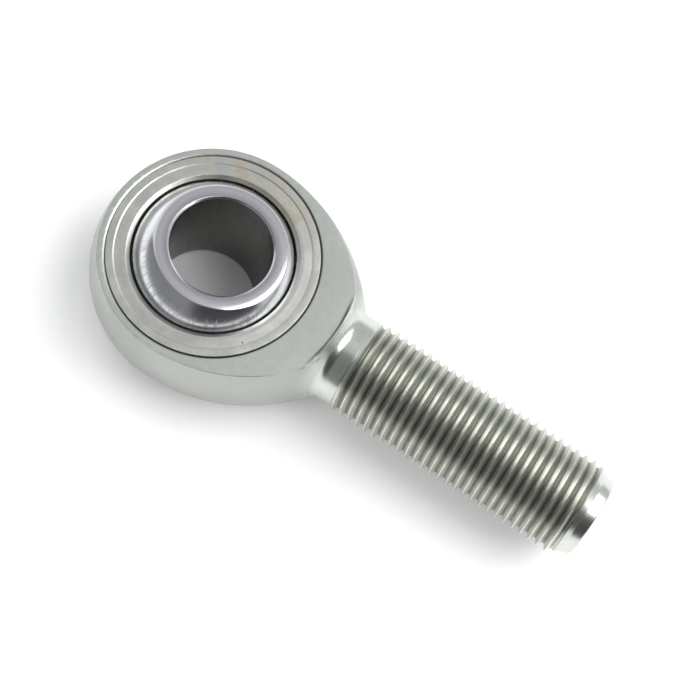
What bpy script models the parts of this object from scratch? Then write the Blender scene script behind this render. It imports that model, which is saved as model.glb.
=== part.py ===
"""Male rod end bearing with an M16 x 1.5 shank and a 16 mm ball bore, as four separate pieces.

Metres, +Z up. The origin is the centre of the flat end of the threaded shank. The shank's axis is X and
the head lies towards -X. The head's bore axis is Z. The ball rests leaning over in its race, as a free
swivel does, so its own parts are turned about Z and then leaned about the centre of the head.
"""

import math

import bmesh
import bpy
from mathutils import Matrix, Vector

# Thread and shank
THREAD_DIAMETER = 0.016
THREAD_PITCH = 0.0015
THREAD_ROOT_RADIUS = THREAD_DIAMETER / 2 - 0.6134 * THREAD_PITCH
CENTRE_TO_END = 0.070
THREAD_START = 0.0267
THREAD_END = 0.0672
NECK_RADIUS = 0.00745
NECK_FILLET = 0.0020
PILOT_RADIUS = 0.00725
PILOT_TIP_RADIUS = 0.0065
END_ROUND = 0.0003

# Head
HEAD_RADIUS = 0.01925
SHOULDER_RADIUS = 0.030
HEAD_HALF_THICKNESS = 0.0075
FACING_RADIUS = 0.02245
HOUSING_BORE = 0.01585
HOUSING_CHAMFER = 0.0008

# Race, liner and ball
GAP = 0.0003
RACE_RADIUS = HOUSING_BORE - GAP
RACE_LIP = 0.00075
RACE_SPHERE = 0.01480
RACE_EDGE_CHAMFER = 0.0003
GROOVE_RADIUS = 0.0151
GROOVE_HALF_WIDTH = 0.00045
GROOVE_DEPTH = 0.0006
LINER_OUTER = 0.01470
LINER_INNER = 0.01440
LINER_HALF_WIDTH = 0.0072
BALL_RADIUS = 0.01429
BALL_HALF_WIDTH = 0.0100
BALL_BORE = 0.0080
BALL_CHAMFER = 0.00035
BALL_EDGE = 0.0003
BALL_LEAN = math.radians(7.1)
BALL_LEAN_HEADING = math.radians(49.0)

# How finely round things are divided
TURNED_STEPS = 40
RING_STEPS = 56

HEAD_CENTRE = Vector((-CENTRE_TO_END, 0, 0))


def clear_scene():
    for obj in list(bpy.data.objects):
        bpy.data.objects.remove(obj, do_unlink=True)


def material(name, colour, roughness, metallic):
    made = bpy.data.materials.new(name)
    made.use_nodes = True
    shader = made.node_tree.nodes["Principled BSDF"]
    shader.inputs["Base Color"].default_value = (*colour, 1)
    shader.inputs["Roughness"].default_value = roughness
    shader.inputs["Metallic"].default_value = metallic
    return made


def arc(centre, radius, start, end, steps):
    """Points on an arc, angles in radians, both ends included."""
    angles = [start + (end - start) * i / steps for i in range(steps + 1)]
    return [(centre[0] + radius * math.cos(a), centre[1] + radius * math.sin(a)) for a in angles]


def spin(mesh, points, axis, steps):
    """Turns a line of points into a skin, round an axis through the origin."""
    line = [mesh.verts.new(point) for point in points]
    edges = [mesh.edges.new(pair) for pair in zip(line, line[1:])]
    bmesh.ops.spin(mesh, geom=line + edges, cent=(0, 0, 0), axis=axis, angle=math.tau, steps=steps, use_merge=True)
    bmesh.ops.remove_doubles(mesh, verts=mesh.verts, dist=1e-6)


def finish(mesh, name, look, sharp=35):
    """Makes the object from its mesh, with its faces pointing out, round parts smooth and edges sharp."""
    bmesh.ops.dissolve_degenerate(mesh, edges=mesh.edges, dist=1e-7)
    bmesh.ops.recalc_face_normals(mesh, faces=mesh.faces)
    data = bpy.data.meshes.new(name)
    mesh.to_mesh(data)
    mesh.free()
    data.shade_smooth()
    data.set_sharp_from_angle(angle=math.radians(sharp))
    data.materials.append(look)
    made = bpy.data.objects.new(name, data)
    bpy.context.collection.objects.link(made)
    return made


def head_profile():
    """(x, r) from the back of the head to the start of the thread, x from the centre of the head."""
    back = arc((0, 0), HEAD_RADIUS, math.pi, math.pi / 2, 10)
    shoulder_centre = (0, HEAD_RADIUS - SHOULDER_RADIUS)
    fillet_y = NECK_RADIUS + NECK_FILLET
    reach = SHOULDER_RADIUS + NECK_FILLET
    fillet_x = math.sqrt(reach**2 - (fillet_y - shoulder_centre[1]) ** 2)
    meets = math.atan2(fillet_y - shoulder_centre[1], fillet_x)
    shoulder = arc(shoulder_centre, SHOULDER_RADIUS, math.pi / 2, meets, 9)
    fillet = arc((fillet_x, fillet_y), NECK_FILLET, meets - math.pi, -math.pi / 2, 4)
    return [(x, max(r, 0)) for x, r in back + shoulder[1:] + fillet[1:] + [(THREAD_START, NECK_RADIUS)]]


def pilot_profile():
    """(x, r) of the plain tapered nose past the thread, down to the flat end."""
    end = CENTRE_TO_END
    return [
        (THREAD_END, PILOT_RADIUS),
        (end - END_ROUND, PILOT_TIP_RADIUS),
        (end, PILOT_TIP_RADIUS - END_ROUND),
        (end, 0),
    ]


def add_thread(mesh, steps):
    """A right-hand thread as one skin. Its first and last points lie on the rings of the neck and the nose."""
    turns = math.ceil((THREAD_END - THREAD_START) / THREAD_PITCH) + 1
    rings = {}

    def vertex(step, row):
        step, row = step % steps, row + 2 * (step // steps)
        x = THREAD_START + (row / 2 + step / steps - 1) * THREAD_PITCH
        x = min(max(x, THREAD_START), THREAD_END)
        at_end = {THREAD_START: "start", THREAD_END: "end"}.get(x)
        key = (step, at_end or row)
        if key not in rings:
            into_start = (x - THREAD_START) / THREAD_PITCH
            into_end = (THREAD_END - x) / THREAD_PITCH
            plain = NECK_RADIUS if into_start < into_end else PILOT_RADIUS
            cut = THREAD_ROOT_RADIUS if row % 2 else THREAD_DIAMETER / 2
            radius = plain + (cut - plain) * min(1, into_start, into_end)
            angle = math.tau * step / steps
            rings[key] = mesh.verts.new((x - CENTRE_TO_END, radius * math.cos(angle), radius * math.sin(angle)))
        return rings[key]

    for step in range(steps):
        for row in range(2 * turns + 2):
            corners = [vertex(step, row), vertex(step + 1, row), vertex(step + 1, row + 1), vertex(step, row + 1)]
            different = list(dict.fromkeys(corners))
            if len(different) > 2:
                mesh.faces.new(different)


def cutter(name, profile):
    """A solid turned round Z through the head's centre, which only cuts."""
    mesh = bmesh.new()
    spin(mesh, [(r, 0, z) for r, z in profile], (0, 0, 1), RING_STEPS)
    bmesh.ops.translate(mesh, verts=mesh.verts, vec=HEAD_CENTRE)
    made = finish(mesh, name, material(name, (0.5, 0.5, 0.5), 0.5, 0))
    made.hide_render = True
    made.display_type = "WIRE"
    return made


def cut(target, tool):
    modifier = target.modifiers.new(tool.name, "BOOLEAN")
    modifier.operation = "DIFFERENCE"
    modifier.solver = "EXACT"
    modifier.object = tool


def make_body():
    """The turned head and threaded shank in one piece, faced flat on both sides and bored for the race."""
    mesh = bmesh.new()
    for profile in (head_profile(), pilot_profile()):
        spin(mesh, [(x - CENTRE_TO_END, r, 0) for x, r in profile], (1, 0, 0), TURNED_STEPS)
    add_thread(mesh, TURNED_STEPS)
    bmesh.ops.remove_doubles(mesh, verts=mesh.verts, dist=1e-6)
    zinc = material("satin_zinc_plate", (0.60, 0.62, 0.58), 0.38, 1)
    body = finish(mesh, "rod_end_body", zinc)
    face, clear = HEAD_HALF_THICKNESS, HEAD_RADIUS + 0.005
    for name, side in (("facing_top", 1), ("facing_bottom", -1)):
        block = [(0, side * face), (FACING_RADIUS, side * face), (FACING_RADIUS, side * clear), (0, side * clear)]
        cut(body, cutter(name, block))
    mouth = HOUSING_BORE + HOUSING_CHAMFER
    shallow = face - HOUSING_CHAMFER
    bore = [
        (0, -clear),
        (mouth, -clear),
        (mouth, -face),
        (HOUSING_BORE, -shallow),
        (HOUSING_BORE, shallow),
        (mouth, face),
        (mouth, clear),
        (0, clear),
    ]
    cut(body, cutter("housing_bore", bore))
    return body


def turned_ring(name, outline, look, sharp=35):
    """A closed (r, z) outline turned round Z, with its origin at the centre of the head."""
    mesh = bmesh.new()
    spin(mesh, [(r, 0, z) for r, z in outline + outline[:1]], (0, 0, 1), RING_STEPS)
    made = finish(mesh, name, look, sharp)
    made.location = HEAD_CENTRE
    return made


def sphere_side(radius, half_height, steps):
    """(r, z) down the side of a sphere between two heights."""
    reach = math.asin(half_height / radius)
    return arc((0, 0), radius, reach, -reach, steps)


def make_race():
    """The race insert: spherical inside, with a grooved and flared lip at each end that holds it in the head."""
    face = HEAD_HALF_THICKNESS
    lip_depth = RACE_LIP + GAP / 2
    edge_radius = math.sqrt(RACE_SPHERE**2 - (face - RACE_EDGE_CHAMFER) ** 2)
    top = [
        (RACE_RADIUS, face - lip_depth),
        (RACE_RADIUS + RACE_LIP, face),
        (GROOVE_RADIUS + GROOVE_HALF_WIDTH, face),
        (GROOVE_RADIUS, face - GROOVE_DEPTH),
        (GROOVE_RADIUS - GROOVE_HALF_WIDTH, face),
        (edge_radius + RACE_EDGE_CHAMFER, face),
    ]
    inside = sphere_side(RACE_SPHERE, face - RACE_EDGE_CHAMFER, 10)
    bottom = [(r, -z) for r, z in reversed(top)]
    steel = material("bare_race_steel", (0.50, 0.50, 0.47), 0.42, 1)
    return turned_ring("outer_race", top + inside + bottom, steel)


def make_liner():
    """The thin low-friction liner between race and ball."""
    outside = sphere_side(LINER_OUTER, LINER_HALF_WIDTH, 9)
    inside = sphere_side(LINER_INNER, LINER_HALF_WIDTH, 9)
    fabric = material("dark_ptfe_liner", (0.05, 0.045, 0.04), 0.7, 0)
    return turned_ring("ptfe_liner", outside + inside[::-1], fabric)


def make_ball():
    """The chromed ball, with a chamfered bore and its outer edges broken, leaning over in the race."""
    width, face_radius = BALL_HALF_WIDTH, math.sqrt(BALL_RADIUS**2 - BALL_HALF_WIDTH**2)
    side = sphere_side(BALL_RADIUS, width - BALL_EDGE, 14)
    bore = [
        (face_radius - BALL_EDGE, -width),
        (BALL_BORE + BALL_CHAMFER, -width),
        (BALL_BORE, BALL_CHAMFER - width),
        (BALL_BORE, width - BALL_CHAMFER),
        (BALL_BORE + BALL_CHAMFER, width),
        (face_radius - BALL_EDGE, width),
    ]
    chrome = material("hard_chrome", (0.72, 0.73, 0.76), 0.12, 1)
    return turned_ring("ball", side + bore, chrome)


def lean_ball(ball, liner):
    """Hangs the ball on the liner's centre and leans it towards the shank side of the head."""
    ball.parent = liner
    ball.location = (0, 0, 0)
    across = Vector((-math.sin(BALL_LEAN_HEADING), math.cos(BALL_LEAN_HEADING), 0))
    ball.rotation_mode = "QUATERNION"
    ball.rotation_quaternion = Matrix.Rotation(BALL_LEAN, 4, across).to_quaternion()


def main():
    clear_scene()
    body = make_body()
    race = make_race()
    race.parent = body
    liner = make_liner()
    lean_ball(make_ball(), liner)
    liner.parent = body


main()
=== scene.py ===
"""A rod end bearing: satin zinc head with a threaded shank, bare steel race, liner and chromed ball."""

import math

import bmesh
import bpy
from mathutils import Matrix, Vector


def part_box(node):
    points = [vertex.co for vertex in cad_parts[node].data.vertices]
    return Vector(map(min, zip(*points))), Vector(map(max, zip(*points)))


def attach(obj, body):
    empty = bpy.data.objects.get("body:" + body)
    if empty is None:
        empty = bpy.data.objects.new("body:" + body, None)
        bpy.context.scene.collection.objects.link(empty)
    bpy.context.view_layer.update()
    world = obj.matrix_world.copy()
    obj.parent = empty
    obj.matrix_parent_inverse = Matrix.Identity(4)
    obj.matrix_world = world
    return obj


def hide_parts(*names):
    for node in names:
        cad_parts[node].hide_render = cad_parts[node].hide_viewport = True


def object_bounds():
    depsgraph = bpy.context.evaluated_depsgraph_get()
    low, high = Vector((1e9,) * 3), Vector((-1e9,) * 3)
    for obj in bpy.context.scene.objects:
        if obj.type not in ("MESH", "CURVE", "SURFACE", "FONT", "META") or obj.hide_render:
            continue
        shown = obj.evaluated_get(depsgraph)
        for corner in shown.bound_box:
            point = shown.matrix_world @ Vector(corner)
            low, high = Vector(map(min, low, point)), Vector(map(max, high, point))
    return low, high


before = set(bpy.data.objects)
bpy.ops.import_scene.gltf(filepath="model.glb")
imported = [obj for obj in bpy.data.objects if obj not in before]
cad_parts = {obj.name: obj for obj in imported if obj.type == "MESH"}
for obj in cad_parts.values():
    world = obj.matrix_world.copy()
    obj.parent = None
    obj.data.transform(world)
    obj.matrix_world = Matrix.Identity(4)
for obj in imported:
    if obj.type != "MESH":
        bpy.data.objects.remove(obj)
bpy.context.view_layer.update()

MM = 0.001

# Places taken from the frame
_, body_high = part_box("rod_end_body")
race_low, race_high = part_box("outer_race")
HEAD = (race_low + race_high) / 2
HALF_THICKNESS = race_high.z
HEAD_RADIUS = body_high.y
END = body_high.x

# Head and shank, lengths along the shank measured from the middle of the head
SHOULDER_RADIUS = 30 * MM
FACING_RADIUS = 22.45 * MM
NECK_RADIUS = 7.45 * MM
NECK_FILLET = 2 * MM
CORE_RADIUS = 7 * MM
NOSE_RADIUS = 7.25 * MM
NOSE_TIP_RADIUS = 6.5 * MM
NOSE_ROUND = 0.35 * MM
THREAD_RADIUS = 8 * MM
THREAD_PITCH = 1.5 * MM
THREAD_START = 26.7 * MM
THREAD_FULL = 29.2 * MM
THREAD_END = 67.2 * MM
LENGTH = END - HEAD.x
# From a thread's crest to its root: millimetres along the shank and down from the crest
THREAD_FLANK = [(0, 0), (0.045, 0.01), (0.085, 0.06), (0.44, 0.68), (0.52, 0.79), (0.62, 0.88), (0.75, 0.92)]
TOOL_CLEARANCE = 2 * MM
EDGE_BREAK = 0.22 * MM
SHORT_EDGE = 0.15 * MM
SAME_POINT = 1e-6

# Bore of the housing and the race set in it
HOUSING_BORE = 15.85 * MM
HOUSING_MOUTH = 16.58 * MM
HOUSING_CHAMFER = 0.7 * MM
HOUSING_LEAD = 0.3 * MM
HOUSING_LEAD_DEPTH = 0.11 * MM
RACE_RADIUS = 15.72 * MM
RACE_LIP_RADIUS = 16.42 * MM
RACE_SETBACK = 0.02 * MM
RACE_SPHERE = 14.58 * MM
SEAT_HALF_WIDTH = 7.1 * MM
GROOVE_RADIUS = 15.1 * MM
GROOVE_WALL = 0.22 * MM
GROOVE_SLOPE = 1.2 * MM
GROOVE_DEPTH = 0.08 * MM

# Liner and ball
LINER_OUTER = 14.53 * MM
LINER_INNER = 14.35 * MM
LINER_HALF_WIDTH = 6.6 * MM
BALL_RADIUS = 14.29 * MM
BALL_HALF_WIDTH = 10 * MM
BALL_BORE = 8 * MM
BALL_BORE_CHAMFER = 0.35 * MM
BALL_FLAT_RADIUS = 9.5 * MM
BALL_CROWN_RADIUS = 3 * MM
BALL_CROWN_TILT = 10
BALL_LEAN = math.radians(7.1)
BALL_LEAN_HEADING = math.radians(49)

# Studio
CEILING = 0.62
CEILING_LIFT = 0.25
DIM_ROOM = 0.22
ROOM_DROP = 0.19
GLOW_ALL_ROUND = 0.04
FLOOR_SIZE = 6
LIGHT_DISTANCE = 1.6
KEY_TOWARDS = (0.55, 0.3, 0.8)
KEY_SIZE = 1.2
KEY_ENERGY = 20
FILL_SIZE = 0.9
FILL_RISE = 0.85
FILL_ENERGIES = {60: 3.6, 150: 3.6, 240: 8, 330: 7}
OVERHEAD_ENERGY = 2
CAMERA_PLACE = (-0.022059, -0.073178, 0.227297)
CAMERA_TURN = (18.239, -5.393, 33.146)
CAMERA_LENS = 79.33

X_AXIS, Z_AXIS = Vector((1, 0, 0)), Vector((0, 0, 1))
SHANK_STEPS = 120
RING_STEPS = 240


# ---------------------------------------------------------------- modelling


def deselect_all():
    bpy.ops.object.select_all(action="DESELECT")


def choose(piece):
    """Makes this the only selected object."""
    deselect_all()
    piece.select_set(True)
    bpy.context.view_layer.objects.active = piece


def arc(middle, radius, start, end, steps):
    """Points on an arc, angles in degrees, both ends included."""
    angles = [math.radians(start + (end - start) * i / steps) for i in range(steps + 1)]
    return [(middle[0] + radius * math.cos(a), middle[1] + radius * math.sin(a)) for a in angles]


def rounded(outline, radii, steps=4):
    """The closed outline with its corners rounded, each to its own radius."""
    made = []
    count = len(outline)
    for i, (corner, radius) in enumerate(zip(outline, radii)):
        here = Vector(corner)
        before = Vector(outline[i - 1]) - here
        after = Vector(outline[(i + 1) % count]) - here
        if not radius:
            made.append(tuple(here))
            continue
        half = before.angle(after) / 2
        reach = min(radius / math.tan(half), 0.48 * before.length, 0.48 * after.length)
        start, end = here + before.normalized() * reach, here + after.normalized() * reach
        for step in range(steps + 1):
            part = step / steps
            made.append(tuple(start.lerp(here, part).lerp(here.lerp(end, part), part)))
    return made


def draw_line(name, points):
    """A new object holding one line of points, drawn by extruding a single point."""
    deselect_all()
    bpy.ops.mesh.primitive_plane_add(size=MM, location=(0, 0, 0))
    piece = bpy.context.object
    piece.name = name
    bpy.ops.object.mode_set(mode="EDIT")
    bpy.ops.mesh.select_all(action="SELECT")
    bpy.ops.mesh.merge(type="CENTER")
    bpy.ops.transform.translate(value=points[0])
    for here, there in zip(points, points[1:]):
        bpy.ops.mesh.extrude_region_move(TRANSFORM_OT_translate={"value": Vector(there) - Vector(here)})
    return piece


def close_skin():
    """In edit mode: merges doubled points and turns every face outwards."""
    bpy.ops.mesh.select_all(action="SELECT")
    bpy.ops.mesh.remove_doubles(threshold=SAME_POINT)
    bpy.ops.mesh.normals_make_consistent(inside=False)
    bpy.ops.object.mode_set(mode="OBJECT")


def turn_round_shank(name, outline, steps=SHANK_STEPS):
    """Turns an (along, radius) outline round the shank's axis, along measured from the middle of the head."""
    piece = draw_line(name, [(HEAD.x + along, radius, 0) for along, radius in outline])
    bpy.ops.mesh.select_all(action="SELECT")
    bpy.ops.mesh.spin(steps=steps, angle=math.tau, center=(HEAD.x, 0, 0), axis=X_AXIS)
    close_skin()
    return piece


def turn_round_bore(name, outline, steps=RING_STEPS):
    """Turns a (radius, height) outline round the head's bore axis."""
    piece = draw_line(name, [(HEAD.x + radius, 0, height) for radius, height in outline])
    bpy.ops.mesh.select_all(action="SELECT")
    bpy.ops.mesh.spin(steps=steps, angle=math.tau, center=HEAD, axis=Z_AXIS)
    close_skin()
    return piece


def apply_modifier(piece, kind, **settings):
    choose(piece)
    modifier = piece.modifiers.new(kind.title(), kind)
    for setting, value in settings.items():
        setattr(modifier, setting, value)
    bpy.ops.object.modifier_apply(modifier=modifier.name)


def combine(piece, other, operation):
    """Cuts, joins or crosses a piece with another, which is used up."""
    apply_modifier(piece, "BOOLEAN", object=other, operation=operation, solver="MANIFOLD")
    bpy.data.objects.remove(other, do_unlink=True)


def mirrored(upper):
    """A closed outline from its upper half and the same below."""
    return upper + [(radius, -height) for radius, height in reversed(upper)]


def smooth(piece, degrees=30):
    choose(piece)
    bpy.ops.object.shade_smooth_by_angle(angle=math.radians(degrees))


# ------------------------------------------------------------- rod end body


def turned_blank():
    """The head, neck, thread core and nose, before the head is faced."""
    back = arc((0, 0), HEAD_RADIUS, 180, 90, 40)
    middle = (0, HEAD_RADIUS - SHOULDER_RADIUS)
    fillet_y = NECK_RADIUS + NECK_FILLET
    fillet_x = math.sqrt((SHOULDER_RADIUS + NECK_FILLET) ** 2 - (fillet_y - middle[1]) ** 2)
    meets = math.degrees(math.atan2(fillet_y - middle[1], fillet_x))
    shoulder = arc(middle, SHOULDER_RADIUS, 90, meets, 40)
    fillet = arc((fillet_x, fillet_y), NECK_FILLET, meets - 180, -90, 12)
    neck = [(THREAD_START, NECK_RADIUS), (THREAD_START + 1.1 * MM, CORE_RADIUS)]
    nose_round = arc((LENGTH - NOSE_ROUND, NOSE_TIP_RADIUS - NOSE_ROUND), NOSE_ROUND, 80, 0, 5)
    nose = [(THREAD_END - 0.5 * MM, CORE_RADIUS), (THREAD_END, NOSE_RADIUS)] + nose_round + [(LENGTH, 0)]
    outline = [(along, max(radius, 0)) for along, radius in back + shoulder[1:] + fillet[1:] + neck + nose]
    return turn_round_shank("rod_end_body", outline)


def face_head(body):
    """Mills both sides of the head flat, leaving a step towards the shank."""
    clear = HEAD_RADIUS + TOOL_CLEARANCE
    for side in (1, -1):
        low, high = sorted((side * HALF_THICKNESS, side * clear))
        block = [(0, low), (FACING_RADIUS, low), (FACING_RADIUS, high), (0, high)]
        combine(body, turn_round_bore("facing", block, 180), "DIFFERENCE")


def bore_head(body):
    """Bores the head for the race, each mouth with a chamfer and a shallow lead."""
    clear = HEAD_RADIUS + TOOL_CLEARANCE
    bore = [
        (0, clear),
        (HOUSING_MOUTH + HOUSING_LEAD, clear),
        (HOUSING_MOUTH + HOUSING_LEAD, HALF_THICKNESS),
        (HOUSING_MOUTH, HALF_THICKNESS - HOUSING_LEAD_DEPTH),
        (HOUSING_BORE, HALF_THICKNESS - HOUSING_CHAMFER),
    ]
    combine(body, turn_round_bore("bore", mirrored(bore)), "DIFFERENCE")


def break_edges(body):
    """Merges the very short edges round the milled faces, then bevels each sharp edge a little."""
    choose(body)
    bpy.ops.object.mode_set(mode="EDIT")
    bpy.ops.mesh.select_all(action="DESELECT")
    mesh = bmesh.from_edit_mesh(body.data)
    for point in mesh.verts:
        above_face = abs(point.co.z) - HALF_THICKNESS
        from_bore = math.hypot(point.co.x - HEAD.x, point.co.y)
        on_step = abs(from_bore - FACING_RADIUS) < 10 * SAME_POINT and above_face > 0
        point.select = abs(above_face) < SAME_POINT or on_step
    mesh.select_flush_mode()
    bmesh.update_edit_mesh(body.data)
    bpy.ops.mesh.remove_doubles(threshold=SHORT_EDGE)
    bpy.ops.object.mode_set(mode="OBJECT")
    apply_modifier(
        body,
        "BEVEL",
        width=EDGE_BREAK,
        segments=3,
        limit_method="ANGLE",
        angle_limit=math.radians(35),
        use_clamp_overlap=True,
    )


def wind_thread():
    """One turn's outline wound round the whole shank, cut square at both ends and closed."""
    pitch = THREAD_PITCH / MM
    outline = THREAD_FLANK + [(pitch - along, depth) for along, depth in reversed(THREAD_FLANK[:-1])]
    first = HEAD.x + THREAD_START - 2 * THREAD_PITCH
    points = [(first + along * MM, THREAD_RADIUS - depth * MM, 0) for along, depth in outline]
    thread = draw_line("thread", points)
    bpy.ops.object.mode_set(mode="OBJECT")
    apply_modifier(
        thread,
        "SCREW",
        axis="X",
        screw_offset=THREAD_PITCH,
        iterations=math.ceil((THREAD_END - THREAD_START) / THREAD_PITCH) + 4,
        steps=SHANK_STEPS,
        render_steps=SHANK_STEPS,
        use_merge_vertices=False,
        use_smooth_shade=True,
    )
    bpy.ops.object.mode_set(mode="EDIT")
    bpy.ops.mesh.select_all(action="SELECT")
    bpy.ops.mesh.remove_doubles(threshold=SAME_POINT)
    start, end = HEAD.x + THREAD_START - 0.6 * MM, HEAD.x + THREAD_END + 1.3 * MM
    for along, side in ((start, {"clear_inner": True}), (end, {"clear_outer": True})):
        bpy.ops.mesh.select_all(action="SELECT")
        bpy.ops.mesh.bisect(plane_co=(along, 0, 0), plane_no=X_AXIS, use_fill=True, threshold=1e-7, **side)
    close_skin()
    return thread


def cut_thread():
    """The rolled thread as a solid of its own, its first and last turns fading out."""
    thread = wind_thread()
    envelope = [
        (THREAD_START - 2 * MM, 0),
        (THREAD_START - 2 * MM, 7.2 * MM),
        (THREAD_START - 0.1 * MM, NECK_RADIUS - 0.03 * MM),
        (THREAD_START + 0.4 * MM, 7.62 * MM),
        (THREAD_FULL, THREAD_RADIUS + 0.02 * MM),
        (THREAD_END - 0.8 * MM, THREAD_RADIUS + 0.02 * MM),
        (THREAD_END + 1.0 * MM, NOSE_RADIUS - 0.2 * MM),
        (THREAD_END + 2 * MM, 0),
    ]
    combine(thread, turn_round_shank("envelope", envelope), "INTERSECT")
    return thread


def make_body():
    """The head and threaded shank in one piece."""
    body = turned_blank()
    face_head(body)
    bore_head(body)
    break_edges(body)
    combine(body, cut_thread(), "UNION")
    smooth(body)
    apply_modifier(body, "WEIGHTED_NORMAL", keep_sharp=True, weight=80)
    return body


# --------------------------------------------------------- race, liner, ball


def make_race():
    """The race insert: a grooved, flared lip at each end and a spherical seat inside."""
    top = HALF_THICKNESS - RACE_SETBACK
    seat_edge = math.sqrt(RACE_SPHERE**2 - SEAT_HALF_WIDTH**2)
    corners = [
        ((RACE_RADIUS, top - HOUSING_CHAMFER), 0.1),
        ((RACE_LIP_RADIUS, top), 0.03),
        ((GROOVE_RADIUS + GROOVE_WALL, top), 0.08),
        ((GROOVE_RADIUS, top - GROOVE_DEPTH), 0.05),
        ((GROOVE_RADIUS - GROOVE_SLOPE, top), 0.3),
        ((seat_edge + 0.6 * MM, top), 0.3),
        ((seat_edge, SEAT_HALF_WIDTH), 0.06),
    ]
    seat = [(point, 0) for point in arc((0, 0), RACE_SPHERE, 26, 0, 12)]
    upper = corners + seat
    lower = [((radius, -height), round_by) for (radius, height), round_by in reversed(upper[:-1])]
    outline = upper + lower
    line = rounded([point for point, _ in outline], [round_by * MM for _, round_by in outline])
    return smoothed_ring("outer_race", line)


def smoothed_ring(name, line):
    ring = turn_round_bore(name, line + line[:1])
    smooth(ring, 40)
    return ring


def make_liner():
    """The thin fabric liner bonded in the race, its ends just below the race's edge."""
    tilt = math.degrees(math.asin(LINER_HALF_WIDTH / LINER_OUTER))
    inner_tilt = math.degrees(math.asin(LINER_HALF_WIDTH / LINER_INNER))
    outside = arc((0, 0), LINER_OUTER, tilt, -tilt, 36)
    inside = arc((0, 0), LINER_INNER, -inner_tilt, inner_tilt, 36)
    return smoothed_ring("ptfe_liner", outside + inside)


def ball_side():
    """The ball's outline from its equator, over a rounded edge and a crown, to its flat face."""
    crown_low = 90 - BALL_CROWN_TILT
    crown = arc((BALL_FLAT_RADIUS, BALL_HALF_WIDTH - BALL_CROWN_RADIUS), BALL_CROWN_RADIUS, crown_low, 90, 8)
    outward = Vector((math.cos(math.radians(crown_low)), math.sin(math.radians(crown_low))))
    end = Vector(crown[0])
    # The round that touches both the crown where it ends and the sphere
    edge_radius = (BALL_RADIUS**2 - end.length_squared) / (2 * (BALL_RADIUS - end.dot(outward)))
    edge_middle = end - outward * edge_radius
    tilt = math.degrees(math.atan2(edge_middle.y, edge_middle.x))
    sphere = arc((0, 0), BALL_RADIUS, 0, tilt, 30)
    edge = arc(edge_middle, edge_radius, tilt, crown_low, 12)
    return sphere + edge[1:] + crown[1:]


def make_ball():
    """The ball, with a chamfered bore, leaning over as it rests."""
    upper = [(point, 0) for point in ball_side()] + [
        ((BALL_BORE + BALL_BORE_CHAMFER, BALL_HALF_WIDTH), 0.15 * MM),
        ((BALL_BORE, BALL_HALF_WIDTH - 0.7 * BALL_BORE_CHAMFER), 0.08 * MM),
        ((BALL_BORE, 0), 0),
    ]
    lower = [((radius, -height), round_by) for (radius, height), round_by in reversed(upper[1:-1])]
    outline = upper + lower
    line = rounded([point for point, _ in outline], [round_by for _, round_by in outline], 8)
    ball = smoothed_ring("ball", line)
    ball.data.transform(Matrix.Translation(HEAD) @ ball_turn().to_4x4() @ Matrix.Translation(-HEAD))
    return ball


def ball_turn():
    """How the ball leans over at rest, as a rotation about the middle of the head."""
    across = Vector((-math.sin(BALL_LEAN_HEADING), math.cos(BALL_LEAN_HEADING), 0))
    return Matrix.Rotation(BALL_LEAN, 3, across)


# ---------------------------------------------------------------- materials


class Value:
    """A socket that Python's operators work on, each adding its Math node."""

    def __init__(self, finish, socket):
        self.finish, self.socket = finish, socket

    def maths(self, operation, *others):
        return self.finish.node("ShaderNodeMath", dict(enumerate((self, *others))), operation=operation)

    def __add__(self, other):
        return self.maths("ADD", other)

    def __sub__(self, other):
        return self.maths("SUBTRACT", other)

    def __mul__(self, other):
        return self.maths("MULTIPLY", other)

    def __truediv__(self, other):
        return self.maths("DIVIDE", other)

    def __pow__(self, other):
        return self.maths("POWER", other)

    def __rsub__(self, other):
        return self.finish.node("ShaderNodeMath", {0: other, 1: self}, operation="SUBTRACT")

    def __abs__(self):
        return self.maths("ABSOLUTE")

    __radd__, __rmul__ = __add__, __mul__

    def over(self, low, high):
        """0 below low, 1 above high and a soft step between."""
        inputs = {"Value": self, "From Min": low, "From Max": high}
        return self.finish.node("ShaderNodeMapRange", inputs, interpolation_type="SMOOTHSTEP")

    def under(self, low, high):
        """1 below low, 0 above high and a soft step between."""
        return 1 - self.over(low, high)


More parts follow.
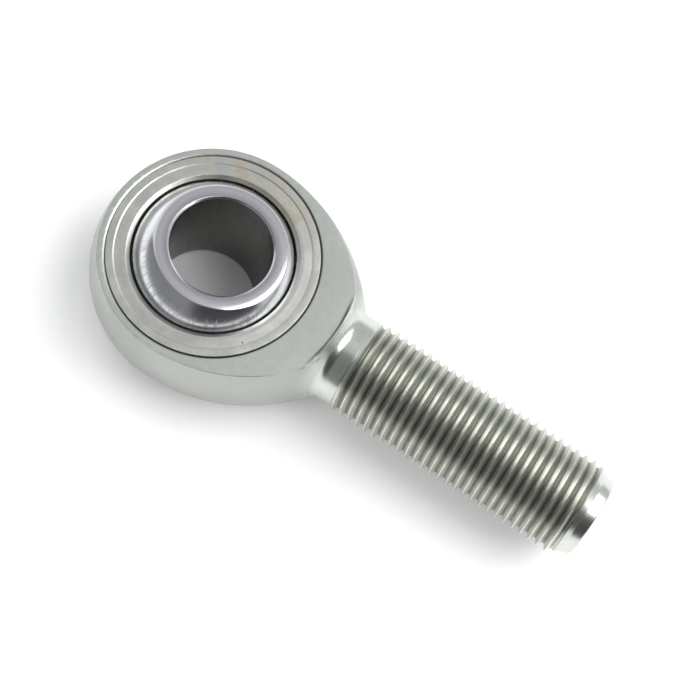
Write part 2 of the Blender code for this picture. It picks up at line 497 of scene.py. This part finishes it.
class Nodes:
    """A node tree while it is wired."""

    def __init__(self, tree):
        self.tree = tree

    def node(self, kind, inputs=(), output=0, **settings):
        """Adds a node with its settings, then its sockets' values or links, and gives back an output."""
        made = self.tree.nodes.new(kind)
        for setting, value in settings.items():
            setattr(made, setting, value)
        for socket, value in dict(inputs).items():
            self.feed(made.inputs[socket], value)
        return Value(self, made.outputs[output])

    def feed(self, socket, value):
        if isinstance(value, Value):
            self.tree.links.new(value.socket, socket)
        else:
            socket.default_value = value

    def place(self, middle=(0, 0, 0), turn=None):
        """Object coordinates in metres, from a point on the piece and turned with it."""
        position = self.node("ShaderNodeTexCoord", output="Object")
        rotation = turn.inverted().to_euler() if turn else (0, 0, 0)
        moved = self.node("ShaderNodeVectorMath", {0: position, 1: tuple(middle)}, operation="SUBTRACT")
        return self.node("ShaderNodeMapping", {"Vector": moved, "Rotation": rotation})

    def split(self, vector):
        made = self.node("ShaderNodeSeparateXYZ", {0: vector})
        return [Value(self, output) for output in made.socket.node.outputs]

    def join(self, x=0, y=0, z=0):
        return self.node("ShaderNodeCombineXYZ", {0: x, 1: y, 2: z})

    def noise(self, vector, scale, detail=2, roughness=0.5):
        inputs = {"Vector": vector, "Scale": scale, "Detail": detail, "Roughness": roughness}
        return self.node("ShaderNodeTexNoise", inputs)

    def spots(self, vector, spacing, size, seed=0):
        """Scattered round spots: 1 inside and 0 outside, one at most in each cell of the spacing."""
        x, y, z = self.split(vector)
        shifted = self.join(x + seed * 0.37, y + seed * 0.53, z)
        cells = {"Vector": shifted, "Scale": 1 / spacing, "Randomness": 1}
        distance = self.node("ShaderNodeTexVoronoi", cells) * spacing
        return distance.under(size * 0.6, size)

    def mix(self, amount, first, second):
        """Blends two colours."""
        inputs = {0: amount, 6: colour(first), 7: colour(second)}
        return self.node("ShaderNodeMix", inputs, output=2, data_type="RGBA")

    def bump(self, height, distance):
        return self.node("ShaderNodeBump", {"Height": height, "Distance": distance, "Strength": 1})


class Finish(Nodes):
    """A material while its Principled shader is wired."""

    def __init__(self, name):
        self.material = bpy.data.materials.new(name)
        self.material.use_nodes = True
        super().__init__(self.material.node_tree)

    def set(self, **sockets):
        shader = self.tree.nodes["Principled BSDF"]
        for socket, value in sockets.items():
            self.feed(shader.inputs[socket.replace("_", " ")], value)
        return self.material


def colour(value):
    """A colour for a socket: three numbers get an alpha, and a link stays a link."""
    return (*value, 1) if isinstance(value, tuple) else value


def from_axis(across, up):
    """Distance from the axis that the two are measured from."""
    return (across * across + up * up) ** 0.5


def painted_edge_shade(x, y, z, faced):
    """Painted shade: a dark line round a milled face, along its broken edge and in the corner at the foot of
    the step.
    """
    from_bore = from_axis(x, y)
    up = abs(z)
    rim = up.over(HALF_THICKNESS - 0.24 * MM, HALF_THICKNESS - 0.14 * MM)
    rim = rim * up.under(HALF_THICKNESS - 0.08 * MM, HALF_THICKNESS - 0.01 * MM)
    rim = rim * from_bore.under(FACING_RADIUS - 2.2 * MM, FACING_RADIUS - 0.6 * MM)
    foot = from_bore.over(FACING_RADIUS - 0.55 * MM, FACING_RADIUS - 0.4 * MM) * faced
    foot = foot * up.under(HALF_THICKNESS + 0.1 * MM, HALF_THICKNESS + 0.5 * MM)
    foot = foot * abs(y).under(3.5 * MM, 7.2 * MM)
    return (rim + foot) * x.over(-12 * MM, 14 * MM)


def zinc_plate():
    """Pale greenish satin zinc, finely grained, with faint lathe lines where it was turned and a few pits;
    painted shade darkens the turned sides, the thread roots and the edges of the milled faces, and a painted
    highlight lightens the thread crests.
    """
    zinc = Finish("satin_zinc_plate")
    here = zinc.place(HEAD)
    x, y, z = zinc.split(here)
    cloud = zinc.noise(here, 70, 3)
    blotch = zinc.noise(here, 700, 3, 0.6)
    grain = zinc.noise(here, 3600, 3, 0.65)
    lathe = zinc.noise(zinc.join(x * 5000, 0, 0), 1, 2)
    pits = zinc.spots(here, 8 * MM, 0.3 * MM, 3) * zinc.noise(here, 3000, 1).over(0.35, 0.6)

    milled = abs(z).over(HALF_THICKNESS - 0.2 * MM, HALF_THICKNESS) * x.under(22.5 * MM, 22.6 * MM)
    shank = x.over(21 * MM, 24 * MM)
    run_out = x.under(THREAD_END - 0.6 * MM, THREAD_END + 0.4 * MM)
    thread = x.over(THREAD_START, THREAD_START + 1 * MM) * run_out
    from_shank = from_axis(y, z)
    # Painted shade: the thread's roots are darkened.
    root_shade = from_shank.under(THREAD_RADIUS - 0.9 * MM, THREAD_RADIUS - 0.72 * MM)
    crest = from_shank.over(THREAD_RADIUS - 0.15 * MM, THREAD_RADIUS - 0.05 * MM)

    milled_tone = zinc.mix(cloud.over(0.35, 0.65), (0.53, 0.555, 0.52), (0.59, 0.615, 0.575))
    # Painted shade: the turned sides get a darker tone than the milled faces.
    shaded_turned_tone = zinc.mix(cloud.over(0.35, 0.65), (0.345, 0.357, 0.335), (0.405, 0.417, 0.393))
    tone = zinc.mix(milled, shaded_turned_tone, milled_tone)
    tone = zinc.mix(shank * (1 - thread), tone, (0.64, 0.66, 0.62))
    tone = zinc.mix(thread, tone, (0.62, 0.63, 0.57))
    # Painted highlight: the thread crests are lighter.
    tone = zinc.mix(thread * crest, tone, (0.74, 0.75, 0.72))
    # Painted shade darkens the thread roots.
    tone = zinc.mix(thread * root_shade * (blotch * 0.3 + 0.7), tone, (0.08, 0.085, 0.075))
    mottling = blotch.over(0.35, 0.7) * 0.2 + grain.over(0.4, 0.75) * (0.35 - shank * 0.3)
    tone = zinc.mix(mottling, tone, (0.40, 0.42, 0.385))
    # Painted shade: a dark line along each milled face's edge and in the corner at the foot of its step.
    tone = zinc.mix(painted_edge_shade(x, y, z, milled) * 0.8, tone, (0.09, 0.095, 0.085))

    satin = grain * (0.1 - shank * 0.07) + blotch * 0.06 + 0.26
    height = grain * (0.6 - shank * 0.5) + blotch * (thread * 3 + 0.5) + lathe * 0.25 - pits * 2
    return zinc.set(
        Base_Color=zinc.mix(pits * 0.85, tone, (0.10, 0.10, 0.085)),
        Metallic=1.0,
        Roughness=satin - shank * 0.05 + thread * (0.12 - crest * 0.07),
        Normal=zinc.bump(height, 0.005 * MM),
    )


def race_steel():
    """Bare turned steel, duller than the zinc, with fine rings, faint brown stains and small pits."""
    steel = Finish("bare_race_steel")
    here = steel.place(HEAD)
    x, y, z = steel.split(here)
    radius = from_axis(x, y)
    rings = steel.noise(steel.join(radius * 9000, z * 9000, 0), 1, 3)
    smear = steel.noise(here, 260, 4, 0.6)
    patches = steel.noise(here, 110, 3, 0.55)
    speckle = steel.noise(here, 2600, 3, 0.65)
    stain = patches.over(0.42, 0.62) * smear.over(0.35, 0.65) * y.over(-4 * MM, 12 * MM)
    pits = steel.spots(here, 4 * MM, 0.2 * MM, 5) * speckle.over(0.35, 0.6)
    tone = steel.mix(smear.over(0.3, 0.7), (0.50, 0.51, 0.485), (0.63, 0.635, 0.60))
    tone = steel.mix(rings.over(0.35, 0.7) * 0.25 + speckle.over(0.4, 0.7) * 0.35, tone, (0.44, 0.44, 0.41))
    tone = steel.mix(stain * 0.75, tone, (0.40, 0.35, 0.27))
    return steel.set(
        Base_Color=steel.mix(pits * 0.85, tone, (0.07, 0.06, 0.05)),
        Metallic=1.0,
        Roughness=smear * 0.16 + speckle * 0.12 + stain * 0.15 + 0.24,
        Normal=steel.bump(rings * 0.6 + speckle * 0.6 - pits * 2, 0.004 * MM),
    )


def liner_fabric():
    """Dark woven liner, seen only as a thin line round the ball."""
    liner = Finish("dark_liner_fabric")
    here = liner.place(HEAD)
    weave = liner.noise(here, 3500, 2)
    base = liner.mix(weave, (0.012, 0.011, 0.010), (0.05, 0.046, 0.04))
    return liner.set(Base_Color=base, Roughness=weave * 0.2 + 0.7, Normal=liner.bump(weave, 0.03 * MM))


def hard_chrome():
    """Polished chrome, scuffed on the sphere, greyer on the end faces with a painted highlight lightening
    each face towards its edge, and dark and plain inside the bore.
    """
    chrome = Finish("hard_chrome")
    here = chrome.place(HEAD, ball_turn())
    x, y, z = chrome.split(here)
    radius = from_axis(x, y)
    up = abs(z)
    rings = chrome.noise(chrome.join(radius * 7000, z * 7000, 0), 1, 2)
    cloud = chrome.noise(here, 180, 3)
    streaks = chrome.noise(chrome.join(x / radius * 30, y / radius * 30, z * 160), 1, 3, 0.6)

    face = up.over(BALL_HALF_WIDTH - 0.12 * MM, BALL_HALF_WIDTH - 0.01 * MM)
    side = up.under(BALL_HALF_WIDTH - 1.6 * MM, BALL_HALF_WIDTH - 0.8 * MM)
    bore = radius.under(BALL_BORE + 0.01 * MM, BALL_BORE + 0.04 * MM)
    rubbed = streaks.over(0.45, 0.7) * (1 - radius.over(BALL_RADIUS - 3 * MM, BALL_RADIUS - 0.5 * MM) * 0.3)
    scuffs = rubbed * side

    # Painted highlight: each end face lightens from its bore out towards its crown.
    painted_face_sheen = radius.over(BALL_BORE + 0.4 * MM, BALL_FLAT_RADIUS)
    face_tone = chrome.mix(painted_face_sheen, (0.36, 0.35, 0.365), (0.52, 0.51, 0.54))
    tone = chrome.mix(cloud.over(0.35, 0.65), (0.68, 0.685, 0.72), (0.76, 0.765, 0.80))
    tone = chrome.mix(scuffs * 0.55, tone, (0.36, 0.38, 0.37))
    tone = chrome.mix(face * 0.9, tone, face_tone)
    return chrome.set(
        Base_Color=chrome.mix(bore, tone, (0.19, 0.19, 0.18)),
        Metallic=1.0,
        Roughness=face * 0.05 + bore * 0.15 + scuffs * 0.14 + cloud * 0.04 + 0.14,
        Normal=chrome.bump(rings * 0.3 + streaks * side * 0.5, 0.002 * MM),
    )


# ------------------------------------------------------------------- studio


def make_floor():
    """A large plain pale floor under the lowest point of the object."""
    low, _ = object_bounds()
    deselect_all()
    bpy.ops.mesh.primitive_plane_add(size=FLOOR_SIZE, location=(0, 0, low.z))
    floor = bpy.context.object
    floor.name = "floor"
    paper = Finish("pale_floor")
    here = paper.place()
    fibre = paper.noise(here, 900, 2)
    base = paper.mix(fibre, (0.86, 0.86, 0.86), (0.88, 0.88, 0.88))
    floor.data.materials.append(paper.set(Base_Color=base, Roughness=0.9, Specular_IOR_Level=0.1))


def soft_light(name, towards, size, energy, reflected=True):
    """A square soft light in that direction from the head, facing it."""
    deselect_all()
    direction = Vector(towards).normalized()
    turn = direction.to_track_quat("Z", "Y").to_euler()
    bpy.ops.object.light_add(type="AREA", location=HEAD + direction * LIGHT_DISTANCE, rotation=turn)
    light = bpy.context.object
    light.name = name
    light.data.size = size
    light.data.energy = energy
    light.visible_glossy = reflected


def make_lights():
    """The key light, and fills all round and overhead that the metal doesn't mirror."""
    soft_light("key", KEY_TOWARDS, KEY_SIZE, KEY_ENERGY)
    for heading, energy in FILL_ENERGIES.items():
        sideways = math.radians(heading)
        towards = (math.cos(sideways), math.sin(sideways), FILL_RISE)
        soft_light(f"fill_{heading}", towards, FILL_SIZE, energy, reflected=False)
    soft_light("overhead", Z_AXIS, FILL_SIZE, OVERHEAD_ENERGY, reflected=False)


def make_world():
    """A pale ceiling on the far side and a dim room on the near side, as a soft box leaves it."""
    world = bpy.data.worlds.new("studio")
    bpy.context.scene.world = world
    world.use_nodes = True
    room = Nodes(world.node_tree)
    x, y, z = room.split(room.node("ShaderNodeTexCoord", output="Generated"))
    ceiling = y.over(-0.16, 0.06)
    pale = CEILING + (x * -1).over(0.25, 0.6) * CEILING_LIFT
    dim = DIM_ROOM - x.over(0, 0.3) * ROOM_DROP
    background = world.node_tree.nodes["Background"]
    room.feed(background.inputs["Color"], (0.97, 0.985, 1.0, 1))
    room.feed(background.inputs["Strength"], ceiling * pale + dim * (1 - ceiling) + GLOW_ALL_ROUND)


def make_camera():
    """The camera, looking down on the head with the shank running away to the right."""
    deselect_all()
    turn = [math.radians(angle) for angle in CAMERA_TURN]
    bpy.ops.object.camera_add(location=CAMERA_PLACE, rotation=turn)
    camera = bpy.context.object
    camera.data.lens = CAMERA_LENS
    camera.data.sensor_width = 36
    camera.data.clip_start = 0.005
    camera.data.clip_end = 20
    bpy.context.scene.camera = camera


def place(piece, body, node, finish):
    """Gives a piece its finish and puts it on its body, in its CAD node's stead."""
    piece.data.materials.clear()
    piece.data.materials.append(finish)
    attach(piece, body)
    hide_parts(node)


place(make_body(), "housing", "rod_end_body", zinc_plate())
place(make_race(), "housing", "outer_race", race_steel())
place(make_liner(), "liner", "ptfe_liner", liner_fabric())
place(make_ball(), "ball", "ball", hard_chrome())

make_floor()
make_world()
make_lights()
make_camera()
bpy.context.scene.view_settings.view_transform = "Standard"
